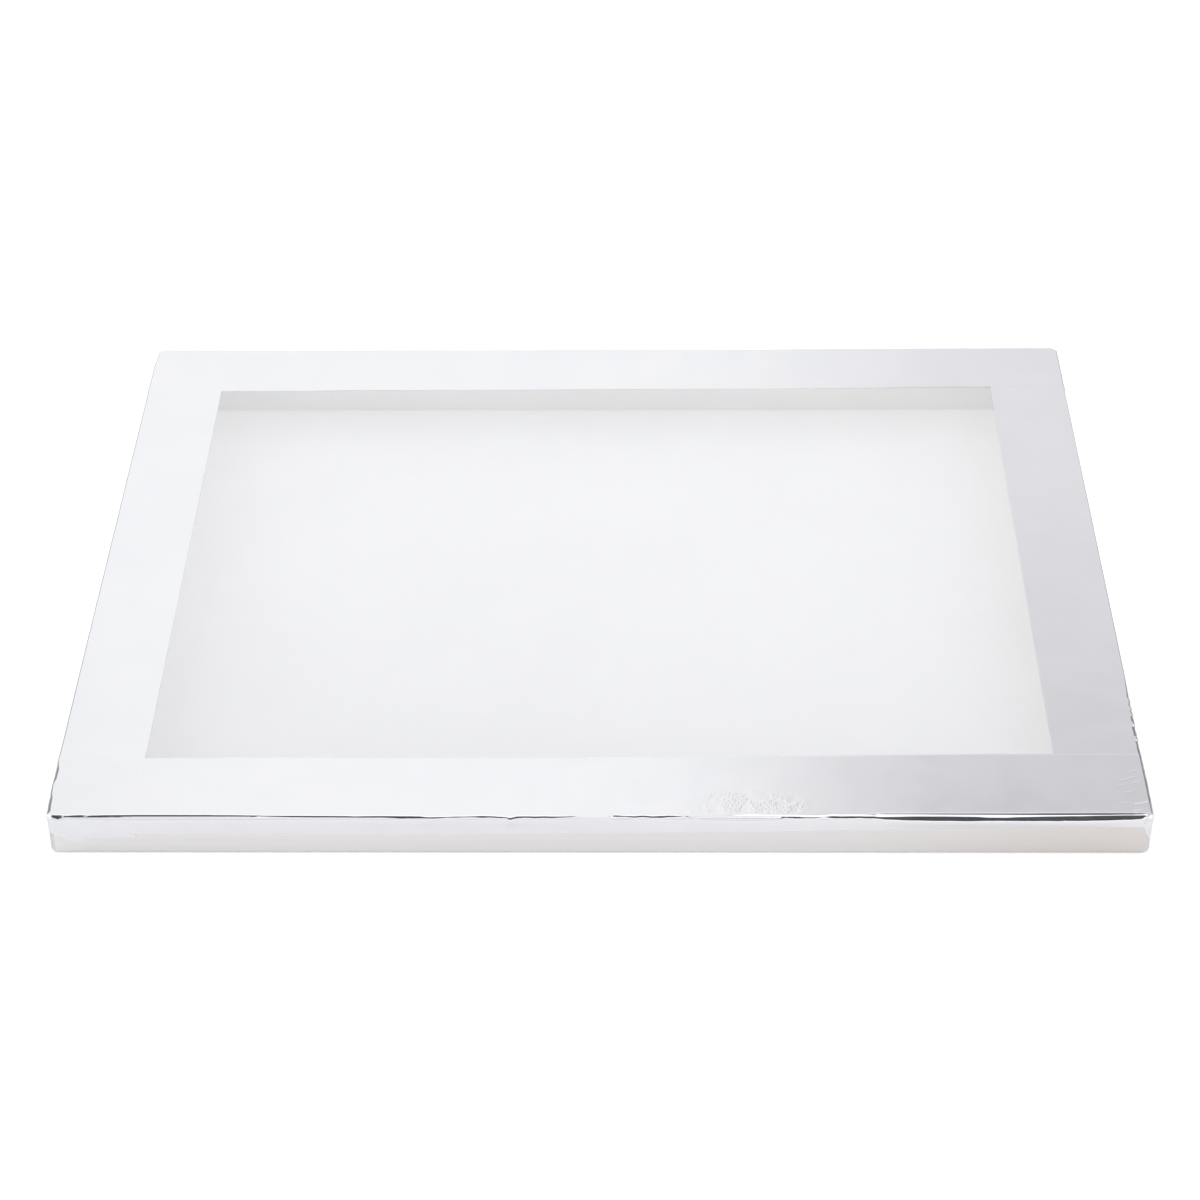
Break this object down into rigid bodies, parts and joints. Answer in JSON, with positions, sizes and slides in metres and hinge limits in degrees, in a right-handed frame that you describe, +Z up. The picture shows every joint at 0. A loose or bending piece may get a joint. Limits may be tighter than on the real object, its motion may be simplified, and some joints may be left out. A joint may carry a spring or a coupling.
{
  "type": "screen printing frame",
  "caption": "Welded hollow aluminium frame with white screen mesh glued across it and foil tape folded over the border, for screen printing by hand.",
  "frame": {"origin": "centre of the underside, on the surface that the frame lies on", "axes": "+X along the long rails to the right rail, +Y to the back rail, +Z up to the taped mesh side"},
  "size_m": [0.61, 0.5084, 0.0258],
  "materials": {
    "bare_aluminium": "mill-finish extrusion with faint lengthwise die lines",
    "weld_metal": "rippled or ground weld metal",
    "adhesive": "thin cured screen adhesive",
    "mesh_fabric": "white plain-weave monofilament polyester mesh under tension",
    "foil_tape": "bright rolled foil, smoothed by hand, with creases along the folds"
  },
  "bodies": {
    "root": {"front_rail": "bare_aluminium", "back_rail": "bare_aluminium", "left_rail": "bare_aluminium", "right_rail": "bare_aluminium", "front_left_top_weld": "weld_metal", "front_left_bottom_weld": "weld_metal", "front_left_outer_weld": "weld_metal", "front_left_inner_weld": "weld_metal", "front_right_top_weld": "weld_metal", "front_right_bottom_weld": "weld_metal", "front_right_outer_weld": "weld_metal", "front_right_inner_weld": "weld_metal", "back_left_top_weld": "weld_metal", "back_left_bottom_weld": "weld_metal", "back_left_outer_weld": "weld_metal", "back_left_inner_weld": "weld_metal", "back_right_top_weld": "weld_metal", "back_right_bottom_weld": "weld_metal", "back_right_outer_weld": "weld_metal", "back_right_inner_weld": "weld_metal", "adhesive_film": "adhesive", "screen_mesh": "mesh_fabric", "front_tape": "foil_tape", "back_tape": "foil_tape", "left_tape": "foil_tape", "right_tape": "foil_tape"}
  },
  "joints": []
}
